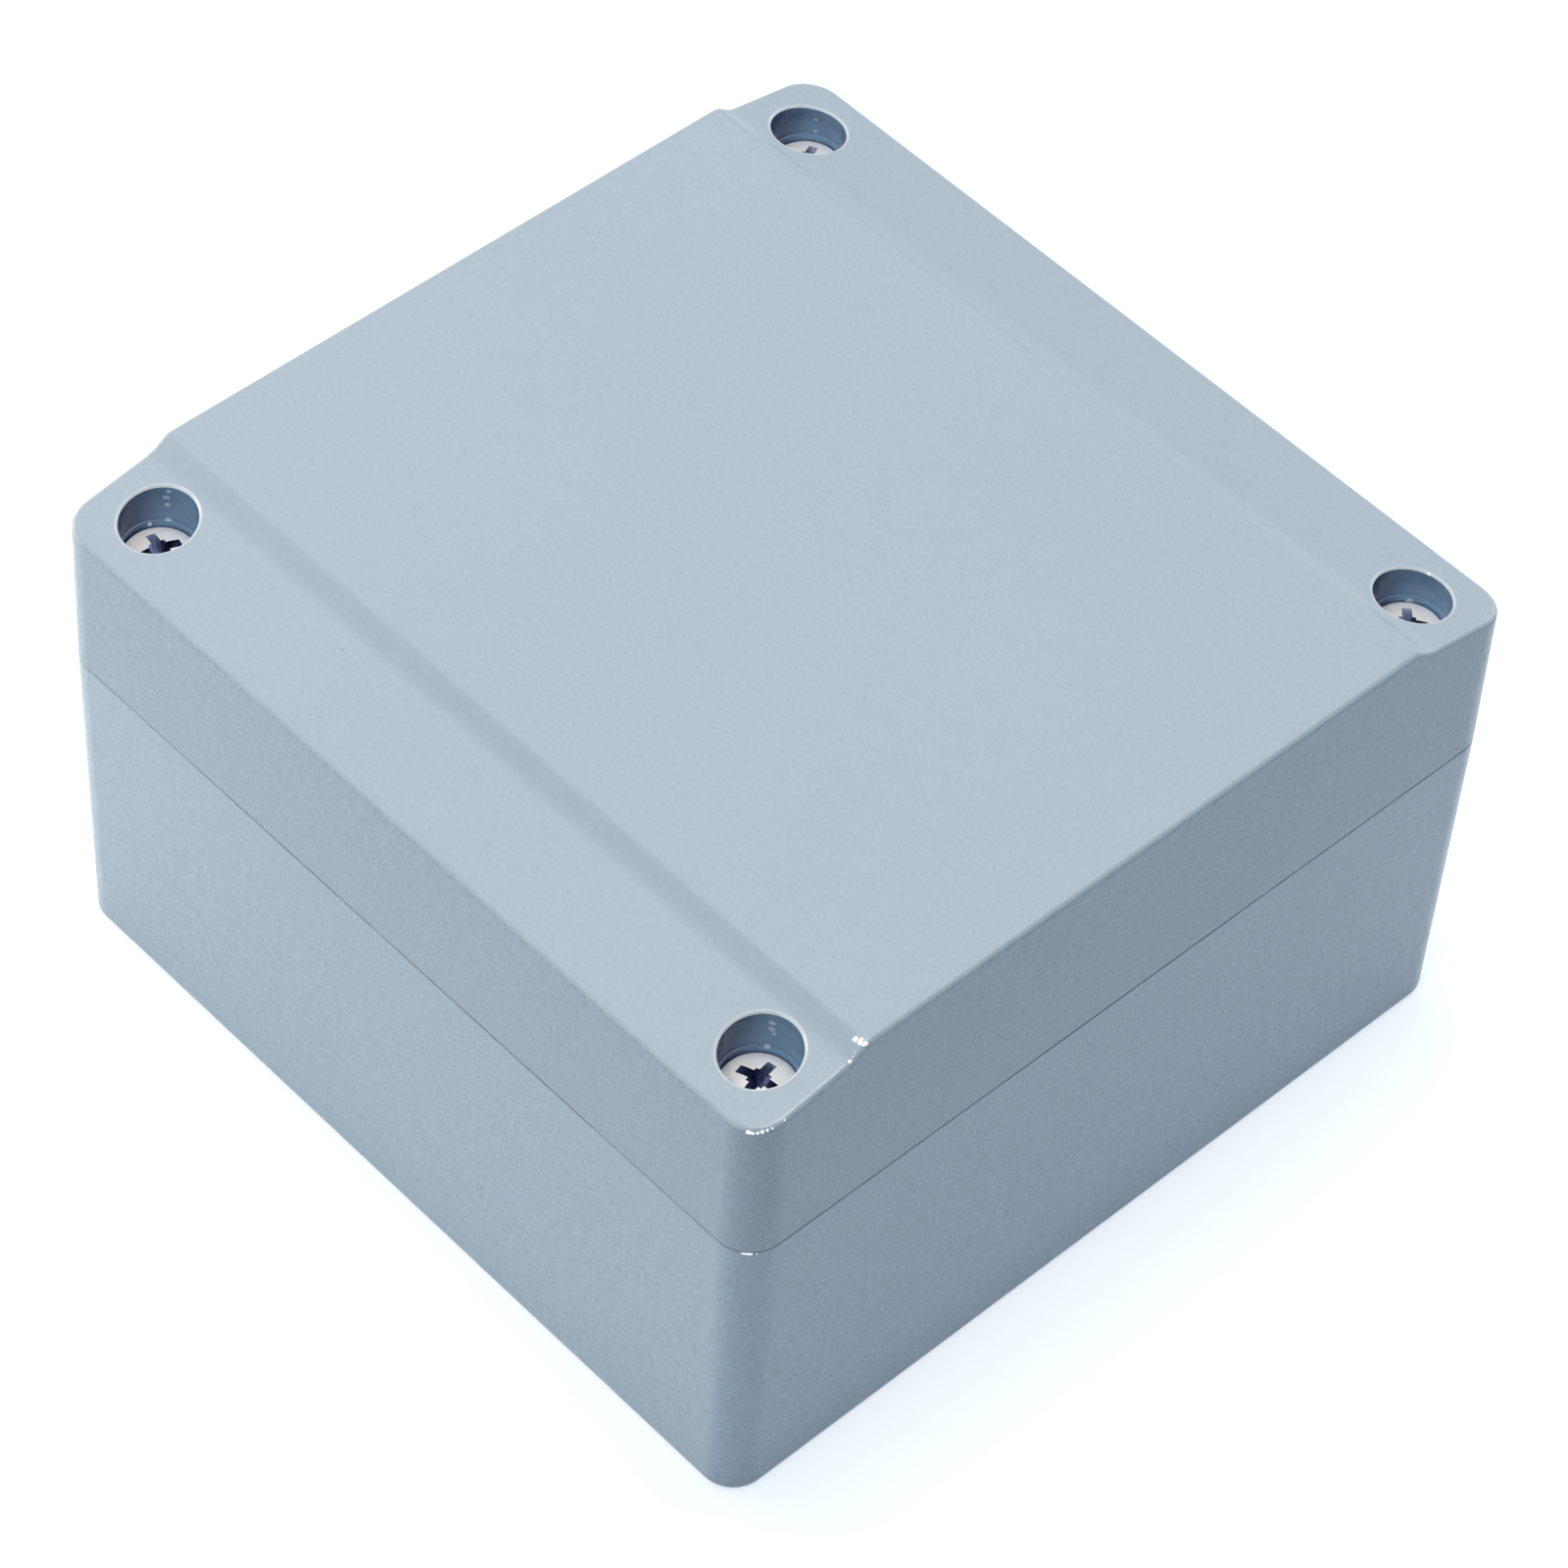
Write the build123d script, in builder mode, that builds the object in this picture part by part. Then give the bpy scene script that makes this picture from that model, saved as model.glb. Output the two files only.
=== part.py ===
from build123d import *
import os
from math import hypot, radians, tan

os.makedirs("parts", exist_ok=True)

# A square die-cast enclosure: a deep tub, a cap-shaped lid with a raised middle
# panel between two sloping strips, a cord seal, and four lid screws that sit deep
# in the corners of the strips, outside the seal.
# The origin is the centre of the underside, Z points up, X runs along the strips.
# All sizes are in millimetres and angles in degrees.

# Outer form, measured at the seam between tub and lid
case_length = 100.0
case_width = 100.0
case_height = 60.0
base_height = 38.8
corner_radius = 4.0
base_draft = 0.5
lid_draft = 0.5
foot_edge_radius = 0.5
seam_edge_radius = 0.2

# Walls
seal_wall = 4.5
outer_wall = 3.5
floor_thickness = 3.2
roof_thickness = 3.0
cavity_radius = 3.0
inner_draft = 1.0
floor_fillet = 1.5
roof_fillet = 1.5

# Side wells that hold the wall screws, one under each strip
well_width = 8.5
well_radius = 2.5
corner_block = 12.0

# Lid top: a flat panel, a soft step down to each strip, and strips that fall outward
panel_step = 1.4
step_run = 2.1
step_offset = 1.9
strip_slope = 10.0
step_foot_radius = 4.0
step_crest_radius = 1.5
lid_edge_radius = 0.6

# Cord seal in the lid, pressed by a ridge on the tub
seal_width = 2.2
seal_height = 1.8
ridge_width = 1.2
ridge_height = 1.0
groove_clearance = 0.05

# Lid screws: raised countersunk heads, a plain shank rolled thinner than the thread
screw_inset = 7.2
thread_diameter = 4.0
shank_diameter = 3.54
head_diameter = 7.3
head_rim = 0.3
head_dome = 1.0
screw_length = 16.0
shank_length = 5.6
tip_chamfer = 0.5
recess_width = 5.2
recess_depth = 2.3
recess_slot = 1.0
head_sink = 4.0
screw_clearance = 0.05
seat_clearance = 0.08
screw_turns = {"front_left": 76, "front_right": 13, "back_left": 27, "back_right": 45}

# Holes for the lid screws
counterbore_diameter = 7.9
counterbore_depth = 4.2
head_bore_clearance = 0.15
shank_hole_diameter = 4.5
mouth_chamfer = 0.2
spigot_diameter = 8.0
spigot_height = 4.5
spigot_clearance = 0.3
thread_depth = 14.0

# Holes for the wall screws
wall_hole_diameter = 4.5
wall_hole_spacing = 62.0

# Circuit board pillars on the floor
pillar_diameter = 7.0
pillar_height = 6.0
pillar_spacing_x = 72.0
pillar_spacing_y = 48.0
pillar_hole_diameter = 2.5
pillar_hole_depth = 5.0

# Earth terminal: a pan head screw with a plain and a toothed washer
earth_inset = 12.0
earth_pillar_diameter = 10.0
earth_pillar_height = 7.0
earth_head_diameter = 8.0
earth_head_height = 3.1
earth_head_radius = 1.2
earth_screw_length = 8.0
earth_hole_depth = 8.0
earth_screw_turn = 35
washer_hole_diameter = 4.3
plain_washer_diameter = 9.0
plain_washer_thickness = 0.8
toothed_washer_diameter = 8.0
toothed_washer_thickness = 0.6
tooth_count = 10
tooth_gap = 0.9
tooth_depth = 0.9

# Places worked out from the sizes above
half_length = case_length / 2
half_width = case_width / 2
lid_height = case_height - base_height
well_outer_y = half_width - outer_wall
well_inner_y = well_outer_y - well_width
well_half_length = half_length - corner_block
cavity_half_length = half_length - seal_wall
cavity_half_width = well_inner_y - seal_wall
seal_half_length = half_length - seal_wall / 2
seal_half_width = well_inner_y - seal_wall / 2
seal_radius = cavity_radius + seal_wall / 2
screw_x = half_length - screw_inset
screw_y = half_width - screw_inset
wall_hole_y = (well_inner_y + well_outer_y) / 2

step_crest_y = well_inner_y - step_offset
step_foot_y = step_crest_y + step_run
step_foot_z = case_height - panel_step

cone_height = (head_diameter - shank_diameter) / 2
thread_run_out = (thread_diameter - shank_diameter) / 2


def strip_z(y):
    """Height of the strip's surface at a distance y from the middle plane."""
    return step_foot_z - (y - step_foot_y) * tan(radians(strip_slope))


mouth_z = strip_z(screw_y)
head_bore_diameter = head_diameter + 2 * head_bore_clearance
head_edge_z = mouth_z - head_sink - head_dome
seat_top_z = head_edge_z - head_rim - seat_clearance + head_bore_clearance
seat_foot_z = seat_top_z - (head_bore_diameter - shank_hole_diameter) / 2
spigot_top = base_height + spigot_height
well_roof_z = strip_z(well_outer_y) - roof_thickness
outside_y = half_width + corner_radius
groove_width = seal_width + 2 * groove_clearance
threaded_hole_radius = thread_diameter / 2 + screw_clearance
pillar_top = floor_thickness + pillar_height
earth_x = -(cavity_half_length - earth_inset)
earth_top = floor_thickness + earth_pillar_height
plain_washer_z = earth_top + toothed_washer_thickness
earth_head_z = plain_washer_z + plain_washer_thickness


def dome_fall(r):
    """How far the screw head's dome has dropped at a radius r from its top."""
    dome_radius = (head_diameter**2 / 4 + head_dome**2) / (2 * head_dome)
    return dome_radius - (dome_radius**2 - r**2) ** 0.5


def on_outline(point):
    """True for a point on the lid's outer walls rather than on its top."""
    edge_zone = lid_edge_radius + lid_height * tan(radians(lid_draft)) + corner_radius / 2
    return abs(point.X) > half_length - edge_zone or abs(point.Y) > half_width - edge_zone


def is_mouth(edge):
    """True for the rim of a screw hole on the sloping strips."""
    point = edge.position_at(0.5)
    from_axis = hypot(abs(point.X) - screw_x, abs(point.Y) - screw_y)
    on_bore = abs(from_axis - counterbore_diameter / 2) < 0.01
    return on_bore and point.Z > mouth_z - counterbore_depth / 4


def four_corners(x, y):
    """The four points that mirror one point about both middle planes."""
    return [(sx * x, sy * y) for sx in (-1, 1) for sy in (-1, 1)]


def seal_ring(width):
    """Draw a band of this width, centred on the line that the seal follows."""
    for grow, mode in ((width / 2, Mode.ADD), (-width / 2, Mode.SUBTRACT)):
        ring_length = 2 * (seal_half_length + grow)
        ring_width = 2 * (seal_half_width + grow)
        RectangleRounded(ring_length, ring_width, seal_radius + grow, mode=mode)


def hollow_outlines():
    """Draw the mouths of the sealed space and of the two side wells."""
    RectangleRounded(2 * cavity_half_length, 2 * cavity_half_width, cavity_radius)
    with Locations((0, wall_hole_y), (0, -wall_hole_y)):
        RectangleRounded(2 * well_half_length, well_width, well_radius)


def cross_recess(top_z):
    """Cut a cross recess that narrows downward, with its mouth at top_z."""
    foot = recess_slot / 2
    for blade in (Plane.XZ, Plane.YZ):
        with BuildSketch(blade) as slot:
            with BuildLine():
                Polyline(
                    (-recess_width / 2, top_z),
                    (recess_width / 2, top_z),
                    (foot, top_z - recess_depth),
                    (-foot, top_z - recess_depth),
                    close=True,
                )
            make_face()
        extrude(slot.sketch, amount=recess_slot / 2, both=True, mode=Mode.SUBTRACT)


# Tub, cast in one piece
with BuildPart() as base:
    with BuildSketch(Plane.XY.offset(base_height)):
        RectangleRounded(case_length, case_width, corner_radius)
    extrude(amount=-base_height, taper=base_draft)
    fillet(base.faces().sort_by(Axis.Z)[0].edges(), radius=foot_edge_radius)
    fillet(base.faces().sort_by(Axis.Z)[-1].edges(), radius=seam_edge_radius)

    # Sealed space in the middle, and open wells along both sides outside the seal
    with BuildSketch(Plane.XY.offset(base_height)):
        hollow_outlines()
    extrude(amount=floor_thickness - base_height, taper=inner_draft, mode=Mode.SUBTRACT)

    # Fillets where the inner walls meet the floor
    fillet(base.faces().filter_by(Axis.Z).group_by(Axis.Z)[1].edges(), radius=floor_fillet)

    # Pillars for a circuit board and for the earth terminal
    with BuildSketch(Plane.XY.offset(floor_thickness - floor_fillet)):
        with GridLocations(pillar_spacing_x, pillar_spacing_y, 2, 2):
            Circle(pillar_diameter / 2)
    extrude(amount=pillar_height + floor_fillet)
    with BuildSketch(Plane.XY.offset(floor_thickness - floor_fillet)):
        with Locations((earth_x, 0)):
            Circle(earth_pillar_diameter / 2)
    extrude(amount=earth_pillar_height + floor_fillet)

    # Ridge that presses the seal
    with BuildSketch(Plane.XY.offset(base_height)):
        seal_ring(ridge_width)
    extrude(amount=ridge_height)

    # Spigots that centre the lid, tapped for the lid screws
    with BuildSketch(Plane.XY.offset(base_height)):
        with Locations(*four_corners(screw_x, screw_y)):
            Circle(spigot_diameter / 2)
    extrude(amount=spigot_height)
    with Locations(*[(x, y, spigot_top) for x, y in four_corners(screw_x, screw_y)]):
        Hole(radius=threaded_hole_radius, depth=thread_depth)

    # Tapped holes in the pillars
    with Locations((0, 0, pillar_top)):
        with GridLocations(pillar_spacing_x, pillar_spacing_y, 2, 2):
            Hole(radius=pillar_hole_diameter / 2, depth=pillar_hole_depth)
    with Locations((earth_x, 0, earth_top)):
        Hole(radius=threaded_hole_radius, depth=earth_hole_depth)

    # Holes for the wall screws through the floor of the wells
    with BuildSketch(Plane.XY):
        with Locations(*four_corners(wall_hole_spacing / 2, wall_hole_y)):
            Circle(wall_hole_diameter / 2)
    extrude(amount=floor_thickness, mode=Mode.SUBTRACT)

base.part.label = "base"
export_step(base.part, "parts/base.step")


# Lid, cast in one piece
with BuildPart() as lid:
    with BuildSketch(Plane.XY.offset(base_height)):
        RectangleRounded(case_length, case_width, corner_radius)
    extrude(amount=lid_height + panel_step, taper=lid_draft)

    # Profile across the lid: strip, soft step, panel, soft step, strip
    with BuildSketch(Plane.YZ) as lid_profile:
        with BuildLine():
            Polyline(
                (-outside_y, 0),
                (-outside_y, strip_z(outside_y)),
                (-step_foot_y, step_foot_z),
                (-step_crest_y, case_height),
                (step_crest_y, case_height),
                (step_foot_y, step_foot_z),
                (outside_y, strip_z(outside_y)),
                (outside_y, 0),
                close=True,
            )
        make_face()
        crests = lid_profile.vertices().group_by(Axis.Y)[-1]
        fillet(crests, radius=step_crest_radius)
        feet = [v for v in lid_profile.vertices() if abs(v.Y - step_foot_z) < 0.001]
        fillet(feet, radius=step_foot_radius)
    extrude(amount=case_length, both=True, mode=Mode.INTERSECT)
    seam_faces = lid.faces().filter_by(Axis.Z).group_by(Axis.Z)[0]
    fillet(seam_faces.edges(), radius=seam_edge_radius)
    top_edges = lid.edges().filter_by(lambda e: e.center().Z > mouth_z - panel_step - lid_edge_radius)
    outline_edges = top_edges.filter_by(lambda e: on_outline(e.center()))
    fillet(outline_edges, radius=lid_edge_radius)

    # Hollow over the sealed space
    with BuildSketch(Plane.XY.offset(base_height)):
        RectangleRounded(2 * cavity_half_length, 2 * cavity_half_width, cavity_radius)
    extrude(amount=lid_height - roof_thickness, taper=inner_draft, mode=Mode.SUBTRACT)
    roof = lid.faces().filter_by(Plane.XY).filter_by_position(
        Axis.Z, case_height - 1.5 * roof_thickness, case_height - 0.5 * roof_thickness
    )
    fillet(roof.edges(), radius=roof_fillet)

    # Hollows over the side wells
    with BuildSketch(Plane.XY.offset(base_height)):
        with Locations((0, wall_hole_y), (0, -wall_hole_y)):
            RectangleRounded(2 * well_half_length, well_width, well_radius)
    extrude(amount=well_roof_z - base_height, taper=inner_draft, mode=Mode.SUBTRACT)

    # Groove for the seal
    with BuildSketch(Plane.XY.offset(base_height)):
        seal_ring(groove_width)
    extrude(amount=ridge_height + seal_height, mode=Mode.SUBTRACT)

    # Sockets over the spigots
    with BuildSketch(Plane.XY.offset(base_height)):
        with Locations(*four_corners(screw_x, screw_y)):
            Circle(spigot_diameter / 2 + spigot_clearance)
    extrude(amount=spigot_height + spigot_clearance, mode=Mode.SUBTRACT)

    # Stepped holes for the lid screws
    with BuildSketch(Plane.XZ):
        with BuildLine():
            Polyline(
                (0, base_height),
                (shank_hole_diameter / 2, base_height),
                (shank_hole_diameter / 2, seat_foot_z),
                (head_bore_diameter / 2, seat_top_z),
                (head_bore_diameter / 2, mouth_z - counterbore_depth),
                (counterbore_diameter / 2, mouth_z - counterbore_depth),
                (counterbore_diameter / 2, case_height),
                (0, case_height),
                close=True,
            )
        make_face()
    screw_hole = revolve(axis=Axis.Z, mode=Mode.PRIVATE)
    for x, y in four_corners(screw_x, screw_y):
        add(screw_hole.moved(Location((x, y, 0))), mode=Mode.SUBTRACT)
    mouths = lid.edges().filter_by(lambda e: is_mouth(e))
    chamfer(mouths, length=mouth_chamfer)

lid.part.label = "lid"
export_step(lid.part, "parts/lid.step")


# Cord seal, seated at the bottom of the lid's groove
with BuildPart() as gasket:
    with BuildSketch(Plane.XY.offset(base_height + ridge_height)):
        seal_ring(seal_width)
    extrude(amount=seal_height)

gasket.part.label = "gasket"
export_step(gasket.part, "parts/gasket.step")


# Lid screw, drawn on the Z axis with the edge of its head at Z = 0
neck_z = -head_rim - cone_height
thread_top_z = neck_z - shank_length

with BuildPart() as lid_screw:
    with BuildSketch(Plane.XZ):
        with BuildLine():
            ThreePointArc(
                (0, head_dome),
                (head_diameter / 4, head_dome - dome_fall(head_diameter / 4)),
                (head_diameter / 2, 0),
            )
            Polyline(
                (head_diameter / 2, 0),
                (head_diameter / 2, -head_rim),
                (shank_diameter / 2, neck_z),
                (shank_diameter / 2, thread_top_z),
                (thread_diameter / 2, thread_top_z - thread_run_out),
                (thread_diameter / 2, tip_chamfer - screw_length),
                (thread_diameter / 2 - tip_chamfer, -screw_length),
                (0, -screw_length),
                (0, head_dome),
            )
        make_face()
    revolve(axis=Axis.Z)
    cross_recess(head_dome)

screw_places = {
    "front_left": (-screw_x, -screw_y),
    "front_right": (screw_x, -screw_y),
    "back_left": (-screw_x, screw_y),
    "back_right": (screw_x, screw_y),
}
for side, (x, y) in screw_places.items():
    fitted_screw = lid_screw.part.moved(Location((x, y, head_edge_z), (0, 0, screw_turns[side])))
    fitted_screw.label = f"lid_screw_{side}"
    export_step(fitted_screw, f"parts/lid_screw_{side}.step")


# Earth terminal: toothed washer, plain washer and pan head screw on their pillar
with BuildPart() as earth_toothed_washer:
    with BuildSketch(Plane.XY.offset(earth_top)):
        with Locations((earth_x, 0)):
            Circle(toothed_washer_diameter / 2)
            Circle(washer_hole_diameter / 2, mode=Mode.SUBTRACT)
            with PolarLocations(toothed_washer_diameter / 2, tooth_count):
                Rectangle(2 * tooth_depth, tooth_gap, mode=Mode.SUBTRACT)
    extrude(amount=toothed_washer_thickness)

earth_toothed_washer.part.label = "earth_toothed_washer"
export_step(earth_toothed_washer.part, "parts/earth_toothed_washer.step")

with BuildPart() as earth_plain_washer:
    with BuildSketch(Plane.XY.offset(plain_washer_z)):
        with Locations((earth_x, 0)):
            Circle(plain_washer_diameter / 2)
            Circle(washer_hole_diameter / 2, mode=Mode.SUBTRACT)
    extrude(amount=plain_washer_thickness)

earth_plain_washer.part.label = "earth_plain_washer"
export_step(earth_plain_washer.part, "parts/earth_plain_washer.step")

with BuildPart() as earth_screw_form:
    with BuildSketch(Plane.XZ):
        with BuildLine():
            Polyline(
                (0, earth_head_height),
                (earth_head_diameter / 2, earth_head_height),
                (earth_head_diameter / 2, 0),
                (thread_diameter / 2, 0),
                (thread_diameter / 2, tip_chamfer - earth_screw_length),
                (thread_diameter / 2 - tip_chamfer, -earth_screw_length),
                (0, -earth_screw_length),
                close=True,
            )
        make_face()
    revolve(axis=Axis.Z)
    fillet(earth_screw_form.edges().group_by(Axis.Z)[-1], radius=earth_head_radius)
    cross_recess(earth_head_height)

earth_screw = earth_screw_form.part.moved(Location((earth_x, 0, earth_head_z), (0, 0, earth_screw_turn)))
earth_screw.label = "earth_screw"
export_step(earth_screw, "parts/earth_screw.step")
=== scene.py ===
from math import cos, pi, radians, sin, sqrt

import bmesh
import bpy
from mathutils import Euler, Matrix, Vector


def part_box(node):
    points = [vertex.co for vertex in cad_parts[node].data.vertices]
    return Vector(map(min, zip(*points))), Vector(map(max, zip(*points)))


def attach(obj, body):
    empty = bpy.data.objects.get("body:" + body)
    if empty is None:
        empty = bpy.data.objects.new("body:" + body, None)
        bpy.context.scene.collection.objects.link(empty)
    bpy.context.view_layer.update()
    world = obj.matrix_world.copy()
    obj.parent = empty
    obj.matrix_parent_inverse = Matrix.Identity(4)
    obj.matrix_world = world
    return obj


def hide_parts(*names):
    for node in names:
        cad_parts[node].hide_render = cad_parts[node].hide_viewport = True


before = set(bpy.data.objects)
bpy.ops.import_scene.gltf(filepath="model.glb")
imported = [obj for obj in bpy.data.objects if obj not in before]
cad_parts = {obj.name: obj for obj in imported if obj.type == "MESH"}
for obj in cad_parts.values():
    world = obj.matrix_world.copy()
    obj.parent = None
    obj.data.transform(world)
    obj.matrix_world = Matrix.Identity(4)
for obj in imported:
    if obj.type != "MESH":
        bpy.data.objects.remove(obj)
bpy.context.view_layer.update()

MM = 0.001

# Camera, solved from the box's outline and screw holes in the photograph
CAMERA_PLACE = Vector((266.3, -273.3, 464.2)) * MM
CAMERA_TARGET = Vector((4.29, -2.49, 30.0)) * MM
CAMERA_ROLL = radians(4.15)
CAMERA_LENS = 132.81
SENSOR_WIDTH = 36.0

# Screws: metric coarse M4, with the same heads, shanks and recesses as their solids
SCREW_LENGTH = 16.0 * MM
THREAD_PITCH = 0.7 * MM
THREAD_DEPTH = 0.43 * MM
THREAD_RADIUS = 2.0 * MM
GROOVE_STEEPNESS = 1.25
GROOVE_CREST = 0.0625
TIP_CHAMFER = 0.5 * MM
SHANK_RADIUS = 1.77 * MM
SHANK_LENGTH = 5.6 * MM
HEAD_RIM = 0.3 * MM
HEAD_DOME = 1.0 * MM
EARTH_HEAD_HEIGHT = 3.1 * MM
EARTH_HEAD_ROUND = 1.2 * MM
EARTH_THREAD_GAP = 0.2 * MM
SCREW_TURNS = {"front_left": 76, "front_right": 13, "back_left": 27, "back_right": 45}
EARTH_SCREW_TURN = 35

# Cross recess: two tapered blades and a square core, cut from a little above the head
RECESS_WIDTH = 5.2 * MM
RECESS_DEPTH = 2.3 * MM
RECESS_SLOT = 1.0 * MM
RECESS_FLOOR_SLOT = 0.76 * MM
RECESS_CORE = 1.25 * MM
RECESS_CORE_FOOT = 0.35 * MM
RECESS_CORE_EXTRA = 0.1 * MM
RECESS_CLEARANCE = 0.4 * MM

# Fineness of the screws' meshes
ROWS_PER_PITCH = 14
RING_POINTS = 96
DOME_STEPS = 24
HEAD_ROUND_STEPS = 8
SHARP_ANGLE = radians(32)
WELD_DISTANCE = 0.001 * MM

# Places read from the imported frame
screw_low, screw_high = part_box("lid_screw_front_right")
earth_low, earth_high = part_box("earth_screw")
SCREW_X = (screw_low.x + screw_high.x) / 2
SCREW_Y = abs(screw_low.y + screw_high.y) / 2
HEAD_RADIUS = (screw_high.x - screw_low.x) / 2
HEAD_EDGE_Z = screw_low.z + SCREW_LENGTH
SEAM_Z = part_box("lid")[0].z
SPIGOT_TOP_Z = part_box("base")[1].z
EARTH_X = (earth_low.x + earth_high.x) / 2
EARTH_HEAD_RADIUS = (earth_high.x - earth_low.x) / 2
EARTH_SEAT_Z = earth_high.z - EARTH_HEAD_HEIGHT
EARTH_SCREW_LENGTH = EARTH_SEAT_Z - earth_low.z
EARTH_PILLAR_TOP_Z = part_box("earth_toothed_washer")[0].z

# Places on the castings that take a finish of their own
PILLAR_X = 36.0 * MM
PILLAR_Y = 24.0 * MM
TUB_PARTS_TOP_Z = 10.4 * MM
UNDERSIDE_TOP_Z = 1.0 * MM
BORE_RADIUS = 4.05 * MM
LIP_RADIUS = 4.20 * MM
MOUTH_LOW_Z = 56.6 * MM
SEAT_FOOT_Z = 48.2 * MM
TAP_RADIUS = 2.08 * MM
PILLAR_HOLE_RADIUS = 1.28 * MM
SPIGOT_FACE_RADIUS = 4.01 * MM
EARTH_FACE_RADIUS = 5.01 * MM
MASK_EDGE = 0.04 * MM
WIDE_EDGE = 0.2 * MM


# Shader helpers


def add_node(tree, kind, inputs=None, **settings):
    """Adds a node with these settings, and links or sets these inputs."""
    node = tree.nodes.new(kind)
    for name, value in settings.items():
        setattr(node, name, value)
    for name, value in (inputs or {}).items():
        if isinstance(value, bpy.types.NodeSocket):
            tree.links.new(value, node.inputs[name])
        else:
            node.inputs[name].default_value = value
    return node


def math_node(tree, operation, *values, clamp=False):
    """Adds a maths node and gives its output."""
    node = add_node(tree, "ShaderNodeMath", dict(enumerate(values)), operation=operation)
    node.use_clamp = clamp
    return node.outputs[0]


def times(tree, *values):
    """The product of these values."""
    product = values[0]
    for value in values[1:]:
        product = math_node(tree, "MULTIPLY", product, value)
    return product


def largest(tree, *values):
    """The largest of these values."""
    top = values[0]
    for value in values[1:]:
        top = math_node(tree, "MAXIMUM", top, value)
    return top


def noise(tree, place, scale, detail=2.0):
    """Noise of this many features a metre, as a value about 0.5."""
    inputs = {"Vector": place, "Scale": scale, "Detail": detail}
    return add_node(tree, "ShaderNodeTexNoise", inputs).outputs[0]


def varied(tree, value, depth):
    """Turns noise into a factor about 1 that varies by this depth in all."""
    return math_node(tree, "MULTIPLY_ADD", value, depth, 1 - depth / 2)


def ramp(tree, value, low, high, to_low=0.0, to_high=1.0):
    """Maps a value smoothly from low..high to to_low..to_high, held flat outside."""
    inputs = {"Value": value, "From Min": low, "From Max": high, "To Min": to_low, "To Max": to_high}
    return add_node(tree, "ShaderNodeMapRange", inputs, interpolation_type="SMOOTHSTEP").outputs[0]


def within(tree, distance, radius, edge=MASK_EDGE):
    """A mask that is 1 up to this radius and fades out over the edge beyond it."""
    return ramp(tree, distance, radius + edge, radius)


def band(tree, height, low, high, edge=MASK_EDGE):
    """A mask that is 1 between two heights and fades out over the edge beyond them."""
    return times(tree, ramp(tree, height, low - edge, low), ramp(tree, height, high + edge, high))


def mix(tree, kind, factor, first, second):
    """Mixes two colours (RGBA) or two values (FLOAT) by a factor."""
    node = tree.nodes.new("ShaderNodeMix")
    node.data_type = kind
    first_input = 6 if kind == "RGBA" else 2
    for place, value in ((0, factor), (first_input, first), (first_input + 1, second)):
        if isinstance(value, bpy.types.NodeSocket):
            tree.links.new(value, node.inputs[place])
        else:
            node.inputs[place].default_value = value
    return node.outputs[2 if kind == "RGBA" else 0]


def scale_color(tree, color, factor):
    """Multiplies a colour by a value."""
    return add_node(tree, "ShaderNodeVectorMath", {0: color, "Scale": factor}, operation="SCALE").outputs[0]


def bump(tree, height, strength, distance, below=None):
    """A bump of this height and strength, on top of another one if given."""
    inputs = {"Height": height, "Strength": strength, "Distance": distance}
    if below is not None:
        inputs["Normal"] = below
    return add_node(tree, "ShaderNodeBump", inputs).outputs[0]


def start_material(name):
    """An empty material with its tree, its shader and its object-space coordinates."""
    material = bpy.data.materials.new(name)
    material.use_nodes = True
    tree = material.node_tree
    return material, tree, tree.nodes["Principled BSDF"], add_node(tree, "ShaderNodeTexCoord").outputs


def split(tree, vector):
    """The three parts of a vector."""
    return add_node(tree, "ShaderNodeSeparateXYZ", {0: vector}).outputs


def radius_about(tree, place, x, y, mirrored=True):
    """Distance from the axis at x and y, or from the nearest of its four mirror images."""
    across, along, _ = split(tree, place)
    if mirrored:
        across = math_node(tree, "ABSOLUTE", across)
        along = math_node(tree, "ABSOLUTE", along)
    across = math_node(tree, "SUBTRACT", across, x)
    along = math_node(tree, "SUBTRACT", along, y)
    flat = add_node(tree, "ShaderNodeCombineXYZ", {0: across, 1: along})
    return add_node(tree, "ShaderNodeVectorMath", {0: flat.outputs[0]}, operation="LENGTH").outputs["Value"]


def past_hole(tree, value, hole):
    """How far a coordinate lies beyond the hole on its own side of the middle."""
    return math_node(tree, "SUBTRACT", value, times(tree, math_node(tree, "SIGN", value), hole))


def spots(tree, place, centres):
    """A mask that is 1 inside small ragged spots, given as places and radii in millimetres."""
    ragged = math_node(tree, "SUBTRACT", noise(tree, place, 2600), 0.5)
    masks = []
    for x, y, z, radius in centres:
        centre = Vector((x, y, z)) * MM
        away = add_node(tree, "ShaderNodeVectorMath", {0: place, 1: centre}, operation="DISTANCE")
        reach = math_node(tree, "MULTIPLY_ADD", ragged, 1.6 * radius * MM, away.outputs["Value"])
        masks.append(ramp(tree, reach, radius * MM, 0.8 * radius * MM))
    return largest(tree, *masks)


# Paint of the two castings, with painted shade and painted highlights

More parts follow.
